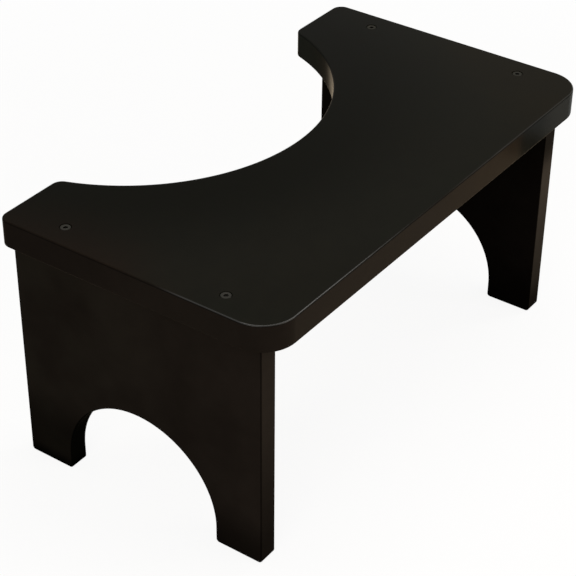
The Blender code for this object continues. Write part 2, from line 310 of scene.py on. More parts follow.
class Paint(Nodes):
    """The nodes of one material."""

    def __init__(self, name):
        self.material = bpy.data.materials.new(name)
        self.material.use_nodes = True
        super().__init__(self.material.node_tree)
        self.shader = self.tree.nodes["Principled BSDF"]

    def place(self):
        return self.add("ShaderNodeTexCoord", output="Object")

    def along(self, axis):
        """The distance from the frame's origin along X, Y or Z."""
        return self.add("ShaderNodeSeparateXYZ", inputs={"Vector": self.place()}, output=axis)

    def distance(self, point):
        """The distance from a point of the frame."""
        return self.add(
            "ShaderNodeVectorMath", {"operation": "DISTANCE"}, {0: self.place(), 1: point}, output="Value"
        )

    def noise(self, width, place=None, detail=3.0, roughness=0.5):
        """Soft noise, about 0.5, whose patches are about `width` wide."""
        return self.add(
            "ShaderNodeTexNoise",
            inputs={
                "Vector": place or self.place(),
                "Scale": 1 / width,
                "Detail": detail,
                "Roughness": roughness,
            },
        )

    def mix(self, first, second, factor):
        """A colour that runs from `first` to `second` with the factor."""
        # A Mix node repeats its sockets' names for each type; these are the numbers of the colour ones.
        return self.add("ShaderNodeMix", {"data_type": "RGBA"}, {0: factor, 6: first, 7: second}, output=2)

    def scale(self, colour_value, factor):
        """A colour made lighter or darker."""
        return self.add("ShaderNodeVectorMath", {"operation": "SCALE"}, {0: colour_value, "Scale": factor})

    def attribute(self, name):
        return self.add("ShaderNodeAttribute", {"attribute_name": name}, output="Fac")

    def bump(self, height, distance):
        """Relief, `distance` high where the height is 1."""
        return self.add("ShaderNodeBump", inputs={"Height": height, "Distance": distance})

    def finish(self, **sockets):
        """Sets the shader's sockets; an underscore stands for a space."""
        for name, value in sockets.items():
            self.feed(self.shader.inputs[name.replace("_", " ")], value)
        return self.material


# Where the lacquer's colours change: each pair is the start and the end of a soft step, in metres
# Along X, where the front edge turns from umber to tan, a painted warm reflection
TAN_X = (-0.05, 0.12)
# Along X, where the front rim's polish fades, and where a little of it comes back
RUB_FADE_X = (-0.20, -0.03)
RUB_BACK_X = (-0.01, 0.10)
# Up the right leg's front edge, where it turns pale with a painted warm reflection, where that ends, and
# where it turns dark with painted shade
PALE_FOOT_Z = (0.008, 0.038)
PALE_TOP_Z = (0.18, 0.14)
DARK_TOP_Z = (0.15, 0.18)
# From a leg's middle, as shares of its half depth, where the arch's edges, dark with painted shade, give way
# to the outer ones
OUTER_STEP = (0.75, 0.90)

# Values of the noise between which a patch comes in, and between which the polish is less worn
PATCH_STEP = (0.34, 0.66)
RUB_STEP = (0.30, 0.70)
# The fine clouds' darkest and palest tone, as shares of the colour, and how far they sway the roughness
CLOUD_TONES = (0.82, 1.17)
CLOUD_ROUGHNESS = 0.05
# How far the board's brown corners lean along Y, their least share of brown, and what patches add to it.
# The left corner's brown is partly a painted warm reflection, and the right corner's amber a painted sheen
BROWN_LEAN = 0.8
BROWN_LEAST = 0.8
PATCH_BROWN = 0.10
# Shares of the front rim's polish: what fades, what comes back, and the least that fine wear leaves
RUB_LOSS = 0.93
RUB_RETURN = 0.35
RUB_LEAST = 0.8
# Share of umber in the legs' patches, and of pitch black as painted shade at the top of the right leg's front
# edge
LEG_PATCH = 0.8
TOP_SHARE = 0.45
# Tones of the painted shade on the legs' faces at the feet, their edges at the floor, their inner faces and
# the back soles
FOOT_TONE = 0.45
EDGE_SHADE_TONE = 0.36
INNER_TONE = 0.35
SOLE_TONE = 0.15


def satin(paint, look, ground, gloss, tone=1.0, polish=0.0):
    """Finishes a satin coat: clouded colour, painted dark reflections along the rims and fine ripples."""
    clouds = paint.noise(look.cloud, detail=5.0, roughness=0.6)
    peel = paint.noise(look.peel, detail=1.0)
    # Painted dark reflection along the rims, which darkens the base colour
    line = paint.attribute("line")
    rough = look.roughness + (look.edge_roughness - look.roughness) * paint.attribute("edge")
    return paint.finish(
        Base_Color=paint.scale(ground, clouds.between(*CLOUD_TONES) * tone * (1 - look.rim_line * line)),
        Roughness=rough + clouds.between(-CLOUD_ROUGHNESS, CLOUD_ROUGHNESS),
        Specular_IOR_Level=gloss,
        Coat_Weight=polish,
        Coat_Roughness=look.polish_roughness,
        Normal=paint.bump(peel, look.peel_height),
    )


def cutout_centre_y(sizes):
    """Where along Y the cut-out's curve has its centre."""
    return BOARD_HIGH.y - sizes.cutout_depth + sizes.cutout_radius


def board_lacquer(look, sizes):
    """Olive black with painted shade by the cut-out, brown corners with painted reflection and sheen, and a
    polished front rim.
    """
    paint = Paint("board_lacquer")
    patches = paint.noise(look.patch, detail=1.5).step(*PATCH_STEP)
    rub = paint.noise(look.cloud * 2, detail=2.0).step(*RUB_STEP)
    x, y = paint.along("X"), paint.along("Y")
    right = x.step(-look.brown_start, look.brown_start)
    # Brown ends: partly a painted warm reflection at the left, a painted sheen at the right
    brown_and_sheen = abs(x - BROWN_LEAN * y).step(look.brown_start, look.brown_end)
    from_front = y - BOARD_LOW.y
    from_curve = paint.distance((0, cutout_centre_y(sizes), BOARD_HIGH.z)) - sizes.cutout_radius
    wall = from_front.step(look.back_start, look.back_end) * abs(x).step(LEG_HIGH.x, LEG_LOW.x)

    brown = paint.mix(look.russet, look.amber, right)
    olive = paint.mix(look.olive, look.khaki, right)
    face = paint.mix(olive, brown, brown_and_sheen * patches.between(BROWN_LEAST, 1) + PATCH_BROWN * patches)
    # Painted shade, darkening the faces towards the cut-out
    face = paint.mix(look.shaded, face, from_curve.step(look.shade_start, look.shade_end))
    # Painted reflections along the front edge: warm tan, dark pitch, grey slate
    side = paint.mix(look.umber, look.tan, x.step(*TAN_X))
    side = paint.mix(side, look.pitch, x.step(look.end_start, look.end_end))
    side = paint.mix(side, look.slate, x.step(look.slate_start, look.slate_end))
    side = paint.mix(side, look.moss, wall)
    ground = paint.mix(face, side, paint.attribute("edge"))

    kept = 1 - RUB_LOSS * x.step(*RUB_FADE_X) + RUB_RETURN * x.step(*RUB_BACK_X)
    kept = kept * from_front.step(look.polish_end, look.polish_start) * rub.between(RUB_LEAST, 1)
    return satin(paint, look, ground, look.gloss, polish=paint.attribute("rim") * look.polish * kept)


def leg_lacquer(look):
    """Brown black, with painted shade at the feet and on the inner faces.

    The upright outer edges are lighter, the right leg's front one most of all with a painted warm reflection;
    the arches' edges and the top of that front edge are darkened with painted shade.
    """
    paint = Paint("leg_lacquer")
    patches = paint.noise(look.patch, detail=3.0).step(*PATCH_STEP)
    edge = paint.attribute("edge")
    x, y, height = paint.along("X"), paint.along("Y"), paint.along("Z")
    half = (LEG_HIGH.y - LEG_LOW.y) / 2
    outer = abs(y - ARCH_Y).step(OUTER_STEP[0] * half, OUTER_STEP[1] * half)
    back = y.step(LEG_LOW.y, LEG_HIGH.y)
    # Painted shade on the inner faces, under the board
    inner = abs(x).step(LEG_LOW.x + look.inner_fade, LEG_LOW.x)
    right_front = x.step(0, LEG_LOW.x) * y.step(ARCH_Y, LEG_LOW.y)
    # Painted warm reflection up the right leg's front edge
    pale = right_front * height.step(*PALE_FOOT_Z) * height.step(*PALE_TOP_Z)

    face = paint.mix(paint.mix(look.ruddy, look.brown, back), look.umber, LEG_PATCH * patches)
    side = paint.mix(look.dusty, look.pale, pale)
    # Painted shade at the top of the right leg's front edge, under the board's overhang
    side = paint.mix(side, look.pitch, TOP_SHARE * right_front * height.step(*DARK_TOP_Z))
    # Painted shade on the arches' edges
    side = paint.mix(look.pitch, side, outer)
    # Painted shade near the floor, higher up on the back feet, and black back soles
    foot = (height - look.foot_extra * back).step(look.foot_start, look.foot_height)
    face_tone = foot.between(FOOT_TONE, 1)
    tone = face_tone + (height.step(0, look.edge_shade_height).between(EDGE_SHADE_TONE, 1) - face_tone) * edge
    sole = height.step(look.sole_height, 0) * back
    tone = tone * inner.between(1, INNER_TONE) * sole.between(1, SOLE_TONE)
    return satin(paint, look, paint.mix(face, side, edge), look.leg_gloss, tone)


# Tint of the steel where it is seen at a flat angle
DULL_TINT = (0.50, 0.50, 0.47)
# Turning marks per metre of radius, their height, and the tones between which they run
MARKS_PER_METRE = 9000
MARK_HEIGHT = 0.000004
MARK_TONES = (0.7, 1.1)
# The stains' width, what they add to the tone, and how far they sway the roughness
STAIN_WIDTH = 0.0016
STAIN_TONE = 0.3
STAIN_ROUGHNESS = 0.08
# Tone of the head where the paint laps over it, and the width of the paint's edge
PAINTED_TONE = 0.5
PAINT_EDGE = 0.0004


def screw_steel(look):
    """Darkened steel with fine turning marks round the screw's axis, dull at flat angles too."""
    paint = Paint("darkened_steel")
    reach = paint.attribute("turned")
    marks = paint.add(
        "ShaderNodeTexNoise",
        {"noise_dimensions": "1D"},
        {"W": reach, "Scale": MARKS_PER_METRE, "Detail": 2.0},
    )
    stains = paint.noise(STAIN_WIDTH, detail=3.0)
    bare = reach.step(look.bare + PAINT_EDGE / 2, look.bare - PAINT_EDGE / 2)
    tone = (marks.between(*MARK_TONES) + STAIN_TONE * stains) * bare.between(PAINTED_TONE, 1)
    return paint.finish(
        Base_Color=paint.scale(look.steel, tone),
        Metallic=1.0,
        Specular_Tint=DULL_TINT,
        Roughness=stains.between(look.roughness - STAIN_ROUGHNESS, look.roughness + STAIN_ROUGHNESS),
        Normal=paint.bump(marks, MARK_HEIGHT),
    )


# Scale of the grain along the dowel, which draws it out when it is below 1, and the grain's relief
GRAIN_SCALE = 0.12
GRAIN_HEIGHT = 0.00003
# Width of the growth and of the flecks, and the noise's values between which each comes in
GROWTH_WIDTH = 0.0022
GROWTH_STEP = (0.35, 0.75)
FLECK_WIDTH = 0.0005
FLECK_STEP = (0.60, 0.72)
# Their shares of the late wood's colour
GROWTH_SHARE = 0.6
FLECK_SHARE = 0.4
# How far the growth sways the roughness, and the strength of the wood's reflection
GROWTH_ROUGHNESS = 0.06
BEECH_GLOSS = 0.3


def dowel_beech(look):
    """Raw beech: pale, with fine darker flecks along the grain."""
    paint = Paint("raw_beech")
    drawn_out = {"Vector": paint.place(), "Scale": (1, 1, GRAIN_SCALE)}
    grain = paint.add("ShaderNodeMapping", {"vector_type": "POINT"}, drawn_out)
    growth = paint.noise(GROWTH_WIDTH, grain, detail=3.0)
    flecks = paint.noise(FLECK_WIDTH, grain, detail=1.0).step(*FLECK_STEP)
    late = GROWTH_SHARE * growth.step(*GROWTH_STEP) + FLECK_SHARE * flecks
    return paint.finish(
        Base_Color=paint.mix(look.early, look.late, late),
        Roughness=growth.between(look.roughness - GROWTH_ROUGHNESS, look.roughness + GROWTH_ROUGHNESS),
        Specular_IOR_Level=BEECH_GLOSS,
        Normal=paint.bump(growth - flecks, GRAIN_HEIGHT),
    )


def arc(centre, radius, start, end, steps):
    """Points on an arc, ends included; angles in degrees, counter-clockwise when end is larger."""
    turns = [math.radians(start + (end - start) * step / steps) for step in range(steps + 1)]
    return [(centre[0] + radius * math.cos(turn), centre[1] + radius * math.sin(turn)) for turn in turns]


def board_outline(sizes):
    """The board seen from above, counter-clockwise from its front left corner."""
    front_x = BOARD_HIGH.x - sizes.front_corner
    front_y = BOARD_LOW.y + sizes.front_corner
    back_x = BOARD_HIGH.x - sizes.back_corner
    back_y = BOARD_HIGH.y - sizes.back_corner
    cutout_y = cutout_centre_y(sizes)
    # The rounding between the back edge and the curve touches both from the board's side.
    round_y = BOARD_HIGH.y - sizes.cutout_corner
    reach = sizes.cutout_radius + sizes.cutout_corner
    round_x = math.sqrt(reach**2 - (cutout_y - round_y) ** 2)
    turn = math.degrees(math.atan2(cutout_y - round_y, round_x))
    return [
        *arc((-front_x, front_y), sizes.front_corner, 180, 270, CORNER_STEPS),
        *arc((front_x, front_y), sizes.front_corner, 270, 360, CORNER_STEPS),
        *arc((back_x, back_y), sizes.back_corner, 0, 90, SMALL_CORNER_STEPS),
        *arc((round_x, round_y), sizes.cutout_corner, 90, 180 - turn, SMALL_CORNER_STEPS),
        *arc((0, cutout_y), sizes.cutout_radius, -turn, turn - 180, CUTOUT_STEPS)[1:-1],
        *arc((-round_x, round_y), sizes.cutout_corner, turn, 90, SMALL_CORNER_STEPS),
        *arc((-back_x, back_y), sizes.back_corner, 90, 180, SMALL_CORNER_STEPS),
    ]


def leg_outline(sizes):
    """A leg panel seen from the side, as (y, z), with the arch open below."""
    foot = sizes.foot_corner
    arch = sizes.arch_radius
    return [
        *arc((LEG_LOW.y + foot, foot), foot, 180, 270, SMALL_CORNER_STEPS),
        *arc((ARCH_Y - arch - foot, foot), foot, 270, 360, SMALL_CORNER_STEPS),
        *arc((ARCH_Y, sizes.arch_straight), arch, 180, 0, ARCH_STEPS),
        *arc((ARCH_Y + arch + foot, foot), foot, 180, 270, SMALL_CORNER_STEPS),
        *arc((LEG_HIGH.y - foot, foot), foot, 270, 360, SMALL_CORNER_STEPS),
        (LEG_HIGH.y, LEG_HIGH.z),
        (LEG_LOW.y, LEG_HIGH.z),
    ]


# On a polished rim, as shares of its quarter turn: where the polish ends, and where the painted dark line
# starts
POLISH_REACH = 0.7
LINE_START = 0.5


def hump(value, start, end):
    """A smooth hump between start and end, 1 in its middle and 0 outside them."""
    return math.sin(math.pi * (value - start) / (end - start)) if start < value < end else 0.0


def slab(outline, low, high, rim, polished):
    """A slab with rounded rims, and three point attributes for its paint.

    "edge" is 1 on the edges and 0 on the two broad faces. On a polished slab "rim" is up to 1 on the
    upper part of the top rim, and "line" on its lower part. On another slab "line" is up to 1 on both
    rims. "line" marks where the paint is darkened as a painted dark reflection.
    """
    work = bmesh.new()
    base = work.faces.new([work.verts.new((x, y, low)) for x, y in outline])
    grown = bmesh.ops.extrude_face_region(work, geom=[base])
    raised = [item for item in grown["geom"] if isinstance(item, bmesh.types.BMVert)]
    bmesh.ops.translate(work, verts=raised, vec=(0, 0, high - low))
    bmesh.ops.recalc_face_normals(work, faces=work.faces)
    rims = [edge for edge in work.edges if edge.verts[0].co.z == edge.verts[1].co.z]
    bmesh.ops.bevel(work, geom=rims, offset=rim, segments=RIM_SEGMENTS, profile=0.5, affect="EDGES")
    rim_layer = work.verts.layers.float.new("rim")
    line_layer = work.verts.layers.float.new("line")
    edge_layer = work.verts.layers.float.new("edge")
    for vertex in work.verts:
        depth = min(vertex.co.z - low, high - vertex.co.z, rim) / rim
        turned = math.acos(max(0.0, 1 - depth)) / (math.pi / 2)
        vertex[edge_layer] = turned
        if not polished:
            vertex[line_layer] = hump(turned, 0, 1)
        elif vertex.co.z > (low + high) / 2:
            vertex[rim_layer] = hump(turned, 0, POLISH_REACH)
            vertex[line_layer] = hump(turned, LINE_START, 1)
    return work


def add_piece(name, work, material=None):
    mesh = bpy.data.meshes.new(name)
    work.to_mesh(mesh)
    work.free()
    if material:
        mesh.materials.append(material)
    piece = bpy.data.objects.new(name, mesh)
    bpy.context.scene.collection.objects.link(piece)
    return piece


def bake(piece):
    """Puts the evaluated mesh in the place of the piece's modifiers."""
    bpy.context.view_layer.update()
    evaluated = piece.evaluated_get(bpy.context.evaluated_depsgraph_get())
    mesh = bpy.data.meshes.new_from_object(evaluated)
    mesh.name = piece.name
    piece.modifiers.clear()
    piece.data = mesh


def smooth(piece):
    """Smooth shading that keeps hard edges and leaves the large faces flat."""
    piece.data.shade_smooth()
    piece.data.set_sharp_from_angle(angle=SHARP_ANGLE)
    weighted = piece.modifiers.new("weighted normals", "WEIGHTED_NORMAL")
    weighted.keep_sharp = True
    bake(piece)


def drill(piece, spaces):
    """Cuts the screws' and dowels' spaces out of a board."""
    for space in spaces:
        cut = piece.modifiers.new(space.name, "BOOLEAN")
        cut.operation = "DIFFERENCE"
        cut.solver = "EXACT"
        cut.object = space
    bake(piece)


def seat(piece, slot, *nodes):
    """Hands the finished piece to the frame in the place of its nodes."""
    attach(piece, BODY)
    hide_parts(*nodes)


def ring(work, reach, height):
    """A ring of vertices round the Z axis; `reach` is a radius or a function of the angle."""
    made = []
    for side in range(RING_SIDES):
        turn = math.tau * side / RING_SIDES
        radius = reach(turn) if callable(reach) else reach
        made.append(work.verts.new((radius * math.cos(turn), radius * math.sin(turn), height)))
    return made


def skin(work, rings, close_first=True, close_last=True):
    """Quads between successive rings, from the top one down, with flat caps where they are wanted."""
    for upper, lower in zip(rings, rings[1:]):
        for side in range(RING_SIDES):
            after = (side + 1) % RING_SIDES
            work.faces.new((upper[side], upper[after], lower[after], lower[side]))
    if close_first:
        work.faces.new(list(reversed(rings[0])))
    if close_last:
        work.faces.new(rings[-1])


def hexagon(across_flats):
    """The reach of a hexagon's side at an angle, with a corner at angle zero."""
    sixth = math.tau / 6
    return lambda turn: across_flats / 2 / math.cos((turn % sixth) - sixth / 2)


def fluted(radius, depth, flutes):
    """The reach of a dowel's rounded flutes at an angle."""
    return lambda turn: radius - depth * math.sqrt(max(0.0, math.sin(turn * flutes)))


# How many of the thread's flanks would fill one pitch, how many turns it winds before its crest starts
# to grow, and the height of the plain part over and under its rows, as a share of the pitch
FLANKS_PER_PITCH = 3
THREAD_LEAD = 0.5
THREAD_MARGIN = 0.25
# Height of the socket's conical floor, as a share of the socket's width
SOCKET_CONE = 1 / 6


def thread(work, sizes, top_ring, start, turns):
    """A V thread that winds down from `start`; gives the ring under it.

    Each row sinks by one pitch in a full turn, so the last side of a row meets the first side of
    the row one turn further. The crest grows out of the shank over one turn near the top, and sinks
    back over one turn at the end.
    """
    root = sizes.shank / 2
    rise = sizes.thread / 2 - root
    last = THREAD_ROWS * turns

    def vertex(row, side):
        turn = math.tau * side / RING_SIDES
        wound = row / THREAD_ROWS + side / RING_SIDES
        grown = min(1.0, max(0.0, wound - THREAD_LEAD), max(0.0, turns + THREAD_LEAD - wound))
        # From 0 at one root to 1 at the next, with the crest half way
        phase = (row % THREAD_ROWS) / THREAD_ROWS
        flank = max(0.0, 1 - abs(phase - 0.5) * FLANKS_PER_PITCH)
        reach = root + rise * grown * flank
        height = start - sizes.pitch * wound
        return work.verts.new((reach * math.cos(turn), reach * math.sin(turn), height))

    rows = [[vertex(row, side) for side in range(RING_SIDES)] for row in range(last + 1)]
    tail = [vertex(row, 0) for row in range(last + 1, last + THREAD_ROWS + 1)]
    firsts = [row[0] for row in rows] + tail
    bottom = ring(work, root, start - sizes.pitch * (turns + 1 + THREAD_MARGIN))
    for row in range(last):
        upper, lower = rows[row], rows[row + 1]
        for side in range(RING_SIDES - 1):
            work.faces.new((upper[side], upper[side + 1], lower[side + 1], lower[side]))
        work.faces.new((upper[-1], firsts[row + THREAD_ROWS], firsts[row + THREAD_ROWS + 1], lower[-1]))
    for side in range(RING_SIDES - 1):
        work.faces.new((top_ring[side], top_ring[side + 1], rows[0][side + 1], rows[0][side]))
    work.faces.new((top_ring[-1], top_ring[0], *firsts[: THREAD_ROWS + 1], rows[0][-1]))
    for side in range(1, RING_SIDES - 1):
        work.faces.new((rows[last][side], rows[last][side + 1], bottom[side + 1], bottom[side]))
    work.faces.new((rows[last][-1], tail[-1], bottom[0], bottom[-1]))
    work.faces.new((rows[last][0], rows[last][1], bottom[1], bottom[0], *reversed(tail)))
    return bottom


def screw_shape(sizes):
    """One countersunk screw with a hexagon socket, its head's top face at height zero."""
    work = bmesh.new()
    head, shank, bevel, rim_bevel = sizes.head / 2, sizes.shank / 2, sizes.bevel, sizes.rim_bevel
    cone_foot = -sizes.head_rim - sizes.cone
    shank_foot = cone_foot - sizes.shank_length
    socket_floor = -sizes.socket_depth + SOCKET_CONE * sizes.socket
    rings = [
        ring(work, hexagon(sizes.socket), socket_floor),
        ring(work, hexagon(sizes.socket), -bevel),
        ring(work, hexagon(sizes.socket + 2 * bevel), 0),
        ring(work, head - rim_bevel, 0),
        ring(work, head, -rim_bevel),
        ring(work, head, -sizes.head_rim),
        ring(work, shank, cone_foot),
        ring(work, shank, shank_foot),
    ]
    skin(work, rings, close_first=False, close_last=False)
    centre = work.verts.new((0, 0, -sizes.socket_depth))
    start = shank_foot - THREAD_MARGIN * sizes.pitch
    room = SCREW_LENGTH + start - sizes.tip - THREAD_MARGIN * sizes.pitch
    foot = thread(work, sizes, rings[-1], start, int(room / sizes.pitch) - 1)
    tip = work.verts.new((0, 0, -SCREW_LENGTH))
    for side in range(RING_SIDES):
        after = (side + 1) % RING_SIDES
        work.faces.new((rings[0][after], rings[0][side], centre))
        work.faces.new((foot[side], foot[after], tip))
    layer = work.verts.layers.float.new("turned")
    for vertex in work.verts:
        vertex[layer] = vertex.co.xy.length - vertex.co.z
    bmesh.ops.recalc_face_normals(work, faces=work.faces)
    return work


def screw_space_shape(sizes):
    """The countersunk bore that a screw takes: its outer shape, wider by the gap."""
    work = bmesh.new()
    head = sizes.head / 2 + SEAT_GAP
    bore = sizes.thread / 2 + SEAT_GAP
    slope = sizes.cone / (sizes.head / 2 - sizes.shank / 2)
    rim_foot = -sizes.head_rim - SEAT_GAP
    skin(
        work,
        [
            ring(work, head, BOARD_HIGH.z - SCREW_HIGH.z + CUT_OVERRUN),
            ring(work, head, rim_foot),
            ring(work, bore, rim_foot - slope * (head - bore)),
            ring(work, bore, -SCREW_LENGTH - SEAT_GAP),
        ],
    )
    bmesh.ops.recalc_face_normals(work, faces=work.faces)
    return work


def dowel_shape(sizes):
    """One fluted dowel with chamfered ends, its top face at height zero."""
    work = bmesh.new()
    full = DOWEL_DIAMETER / 2
    flutes = fluted(full, sizes.flute_depth, sizes.flutes)
    skin(
        work,
        [
            ring(work, full - sizes.chamfer, 0),
            ring(work, flutes, -sizes.chamfer),
            ring(work, flutes, sizes.chamfer - DOWEL_LENGTH),
            ring(work, full - sizes.chamfer, -DOWEL_LENGTH),
        ],
    )
    bmesh.ops.recalc_face_normals(work, faces=work.faces)
    return work


def dowel_space_shape():
    """The blind hole that a dowel fills."""
    work = bmesh.new()
    bore = DOWEL_DIAMETER / 2 + SEAT_GAP
    skin(work, [ring(work, bore, SEAT_GAP), ring(work, bore, -DOWEL_LENGTH - SEAT_GAP)])
    bmesh.ops.recalc_face_normals(work, faces=work.faces)
    return work


def corner_layout():
    """A node tree that sets one shape at the four corners of a rectangle, each turned by chance."""
    tree = bpy.data.node_groups.new("four_over_the_legs", "GeometryNodeTree")
    tree.is_modifier = True
    sides = (
        ("Shape", "INPUT", "NodeSocketObject"),
        ("Spread X", "INPUT", "NodeSocketFloat"),
        ("Spread Y", "INPUT", "NodeSocketFloat"),
        ("Middle", "INPUT", "NodeSocketVector"),
        ("Seed", "INPUT", "NodeSocketInt"),
        ("Material", "INPUT", "NodeSocketMaterial"),
        ("Geometry", "OUTPUT", "NodeSocketGeometry"),
    )
    for name, direction, kind in sides:
        tree.interface.new_socket(name, in_out=direction, socket_type=kind)
    nodes = Nodes(tree)
    given = tree.nodes.new("NodeGroupInput").outputs

    def wanted(name):
        return Value(nodes, given[name])

    corners = nodes.add(
        "GeometryNodeMeshGrid",
        inputs={"Size X": wanted("Spread X"), "Size Y": wanted("Spread Y"), "Vertices X": 2, "Vertices Y": 2},
    )
    placed = nodes.add("GeometryNodeSetPosition", inputs={"Geometry": corners, "Offset": wanted("Middle")})
    turn = nodes.add(
        "FunctionNodeRandomValue",
        {"data_type": "FLOAT_VECTOR"},
        {"Min": (0, 0, 0), "Max": (0, 0, math.tau), "Seed": wanted("Seed")},
    )
    shape = nodes.add("GeometryNodeObjectInfo", inputs={"Object": wanted("Shape")}, output="Geometry")
    copies = nodes.add(
        "GeometryNodeInstanceOnPoints", inputs={"Points": placed, "Instance": shape, "Rotation": turn}
    )
    real = nodes.add("GeometryNodeRealizeInstances", inputs={"Geometry": copies})
    painted = nodes.add("GeometryNodeSetMaterial", inputs={"Geometry": real, "Material": wanted("Material")})
    nodes.feed(tree.nodes.new("NodeGroupOutput").inputs["Geometry"], painted)
    return tree


def lay_out(name, work, front, back, top, material, seed=1):
    """Four copies of a shape, two over each leg, baked to one mesh."""
    pattern = add_piece(f"{name}_pattern", work, material)
    tree = bpy.data.node_groups.get("four_over_the_legs") or corner_layout()
    piece = add_piece(name, bmesh.new())
    layout = piece.modifiers.new("layout", "NODES")
    layout.node_group = tree
    values = {
        "Shape": pattern,
        "Spread X": 2 * LEG_MIDDLE_X,
        "Spread Y": back - front,
        "Middle": (0, (front + back) / 2, top),
        "Seed": seed,
        "Material": material,
    }
    for item in tree.interface.items_tree:
        if item.name in values:
            layout[item.identifier] = values[item.name]
    bake(piece)
    bpy.data.objects.remove(pattern)
    return piece


def middle_y(low, high):
    return (low.y + high.y) / 2


def lay_out_screws(name, work, material=None):
    front, back = middle_y(SCREW_LOW, SCREW_HIGH), middle_y(SCREW_BACK_LOW, SCREW_BACK_HIGH)
    return lay_out(name, work, front, back, SCREW_HIGH.z, material, seed=4)


def lay_out_dowels(name, work, material=None):
    front, back = middle_y(DOWEL_LOW, DOWEL_HIGH), middle_y(DOWEL_BACK_LOW, DOWEL_BACK_HIGH)
    return lay_out(name, work, front, back, DOWEL_HIGH.z, material)


def drill_for_fixings(piece, scene):
    """Cuts the room for all screws and dowels out of a board or leg."""
    spaces = [
        lay_out_screws("screw_spaces", screw_space_shape(scene.footstool_screw)),
        lay_out_dowels("dowel_spaces", dowel_space_shape()),
    ]
    drill(piece, spaces)
    for space in spaces:
        bpy.data.objects.remove(space)


class FOOTSTOOL_OT_board(bpy.types.Operator):
    """Make the board with the curved cut-out"""

    bl_idname = "footstool.board"
    bl_label = "Board"

    def execute(self, context):
        sizes = context.scene.footstool_board
        work = slab(board_outline(sizes), BOARD_LOW.z, BOARD_HIGH.z, sizes.rim, polished=True)
        board = add_piece("board", work, board_lacquer(context.scene.footstool_lacquer, sizes))
        drill_for_fixings(board, context.scene)
        smooth(board)
        seat(board, "black_lacquer", "top_board")
        return {"FINISHED"}


class FOOTSTOOL_OT_legs(bpy.types.Operator):
    """Make the two arched leg panels"""

    bl_idname = "footstool.legs"
    bl_label = "Legs"

    def execute(self, context):
        sizes = context.scene.footstool_leg
        coat = leg_lacquer(context.scene.footstool_lacquer)
        for side, name in ((-1, "left_leg"), (1, "right_leg")):
            low = side * LEG_MIDDLE_X - (LEG_HIGH.x - LEG_LOW.x) / 2
            high = side * LEG_MIDDLE_X + (LEG_HIGH.x - LEG_LOW.x) / 2
            work = slab(leg_outline(sizes), low, high, sizes.rim, polished=False)
            for vertex in work.verts:
                vertex.co = Vector((vertex.co.z, vertex.co.x, vertex.co.y))
            leg = add_piece(f"{name}_panel", work, coat)
            drill_for_fixings(leg, context.scene)
            smooth(leg)
            seat(leg, "black_lacquer", name)
        return {"FINISHED"}


class FOOTSTOOL_OT_screws(bpy.types.Operator):
    """Make the four countersunk screws"""

    bl_idname = "footstool.screws"
    bl_label = "Screws"

    def execute(self, context):
        steel = screw_steel(context.scene.footstool_metal)
        screws = lay_out_screws("screws", screw_shape(context.scene.footstool_screw), steel)
        smooth(screws)
        seat(
            screws,
            "screw_steel",
            "screw_left_front",
            "screw_left_back",
            "screw_right_front",
            "screw_right_back",
        )
        return {"FINISHED"}


class FOOTSTOOL_OT_dowels(bpy.types.Operator):
    """Make the four fluted dowels"""

    bl_idname = "footstool.dowels"
    bl_label = "Dowels"

    def execute(self, context):
        beech = dowel_beech(context.scene.footstool_beech)
        dowels = lay_out_dowels("dowels", dowel_shape(context.scene.footstool_dowel), beech)
        smooth(dowels)
        seat(
            dowels,
            "dowel_beech",
            "dowel_left_front",
            "dowel_left_back",
            "dowel_right_front",
            "dowel_right_back",
        )
        return {"FINISHED"}


# Half the floor's width, and where the camera sees it fade to plain white, from the origin
FLOOR_REACH = 6.0
FLOOR_FADE = (0.5, 1.2)
# The floor seen near the stool is this much plain white, which lightens the stool's shadow
FLOOR_WHITE_SHARE = 0.90

# The floor as the stool mirrors it: each pair is the start and the end of a soft step, in metres
# Half the width of the step between the painted shadow under the stool and the floor round it
UNDER_BLUR = 0.03
# Along X, right of the stool: where the floor turns dark, and where it then turns grey
GAP_X = (0.443, 0.463)
BESIDE_X = (0.483, 0.518)
# Along Y: where both of these end towards the back, and where the grey floor grows darker before that
BESIDE_Y = (0.28, 0.22)
BESIDE_FADE_Y = (-0.25, 0.05)
# The dark floor behind the stool: where it ends towards the right, and where it starts along Y
BEHIND_X = (0.37, 0.31)
BEHIND_Y = (0.20, 0.28)
# Tones of its dark parts, as shares of its colour
UNDER_TONE = 0.10
GAP_TONE = 0.10
BESIDE_TONE = 0.25
BEHIND_TONE = 0.25

# Point that the lamps face
LAMP_AIM = (0.0, 0.0, 0.12)
# Each lamp's name, place, width, power in watts and tint
LAMPS = (
    ("front", (0.35, -1.9, 0.85), 1.6, 25, (1.0, 0.90, 0.77)),
    ("fill", (-1.9, -0.5, 1.0), 1.2, 17, (1.0, 0.93, 0.84)),
)
# A long lamp overhead, which draws the light line along the top rim
STRIP_START = (-0.59, 0.73, 2.00)
STRIP_END = (1.55, -0.99, 1.71)
STRIP_WIDTH = 0.3
STRIP_POWER = 15.5
STRIP_TINT = (1.0, 0.97, 0.92)


def ray(nodes, kind):
    return nodes.add("ShaderNodeLightPath", output=f"Is {kind} Ray")


def seen_directly(nodes):
    """1 for camera, glossy and transmission rays, and 0 for the rest."""
    rays = ray(nodes, "Camera") + ray(nodes, "Glossy") + ray(nodes, "Transmission")
    return nodes.add("ShaderNodeClamp", inputs={"Value": rays})


